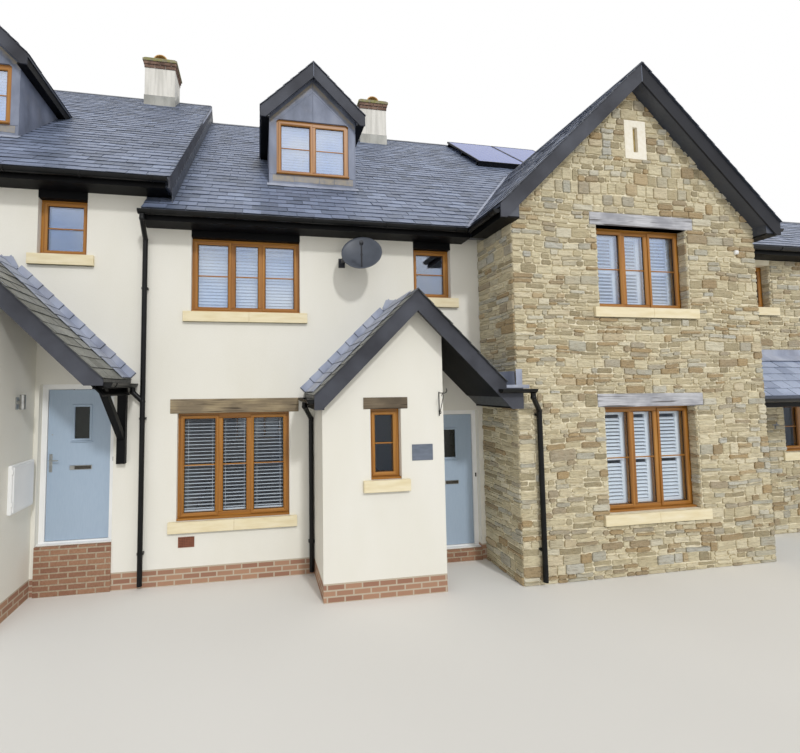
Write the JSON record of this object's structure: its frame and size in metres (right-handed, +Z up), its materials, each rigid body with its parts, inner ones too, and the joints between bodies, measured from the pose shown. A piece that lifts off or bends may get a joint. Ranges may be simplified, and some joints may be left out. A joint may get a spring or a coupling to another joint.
{
  "type": "terraced house row",
  "caption": "Row of rendered and stone houses under stepped slate roofs, with porches, dormers, chimneys and opening front doors.",
  "frame": {"origin": "middle of the row's outline at the lowest ground level", "axes": "+X runs along the row to the right as seen from the street, +Y from the street to the back, +Z up"},
  "size_m": [19.962, 10.823, 10.8108],
  "materials": {
    "render": "through-coloured scraped render",
    "rubble_stone": "coursed sandstone rubble, lime pointed",
    "concrete": "floated",
    "floor_timber": "planed boards",
    "slate": "riven slate",
    "lead": "weathered lead sheet",
    "black_board": "satin black paint",
    "black_plastic": "semi-gloss black",
    "oak_frame": "golden oak stain",
    "glass": "clear sealed units",
    "white_frame": "satin white",
    "door_blue": "satin grey-blue paint",
    "fittings": "satin",
    "chimney_render": "weathered render",
    "sill_stone": "sawn buff sandstone",
    "old_oak": "weathered silver-grey oak",
    "solar_glass": "dark glass in a black frame",
    "brick": "red-brown facing brick",
    "dish_grey": "matt grey",
    "white_box": "satin white"
  },
  "bodies": {
    "house": {"party_walls": "render", "end_walls": "render", "left_ground_wall": "render", "left_upper_wall": "render", "middle_ground_wall": "render", "middle_upper_wall": "render", "door_head_walls": "render", "wing_front_wall": "rubble_stone", "wing_side_walls": "rubble_stone", "range_front_wall": "rubble_stone", "rear_walls": "render", "ground_floors": "concrete", "first_floors": "floor_timber", "attic_floors": "floor_timber", "left_roof": "slate", "middle_roof": "slate", "wing_roof": "slate", "range_roof": "slate", "canopy_roof": "slate", "eaves_boards": "black_board", "bargeboards": "black_board", "gutters": "black_plastic", "downpipes": "black_plastic", "left_porch_walls": "render", "middle_porch_walls": "render", "porch_roofs": "slate", "dormer_walls": "lead", "dormer_roofs": "slate", "left_window_frames": "oak_frame", "middle_window_frames": "oak_frame", "right_window_frames": "oak_frame", "rear_window_frames": "oak_frame", "window_glass": "glass", "door_frames": "white_frame", "fixed_doors": "door_blue", "chimneys": "chimney_render", "sills": "sill_stone", "lintels": "old_oak", "vent_block": "sill_stone", "door_steps": "brick", "canopy_bracket": "black_board", "solar_panels": "solar_glass", "satellite_dish": "dish_grey", "wall_fittings": "white_box"},
    "left_door_leaf": {"left_door": "door_blue", "left_door_fittings": "fittings"},
    "middle_door_leaf": {"middle_door": "door_blue", "middle_door_fittings": "fittings"}
  },
  "joints": [
    {"name": "left_door_hinge", "type": "hinge", "parent": "house", "child": "left_door_leaf", "pos_m": [-5.066, -4.0842, 1.651], "axis": [0, 0, -1], "range_deg": [0, 90]},
    {"name": "middle_door_hinge", "type": "hinge", "parent": "house", "child": "middle_door_leaf", "pos_m": [0.296, -4.0842, 1.2], "axis": [0, 0, -1], "range_deg": [0, 90]}
  ]
}
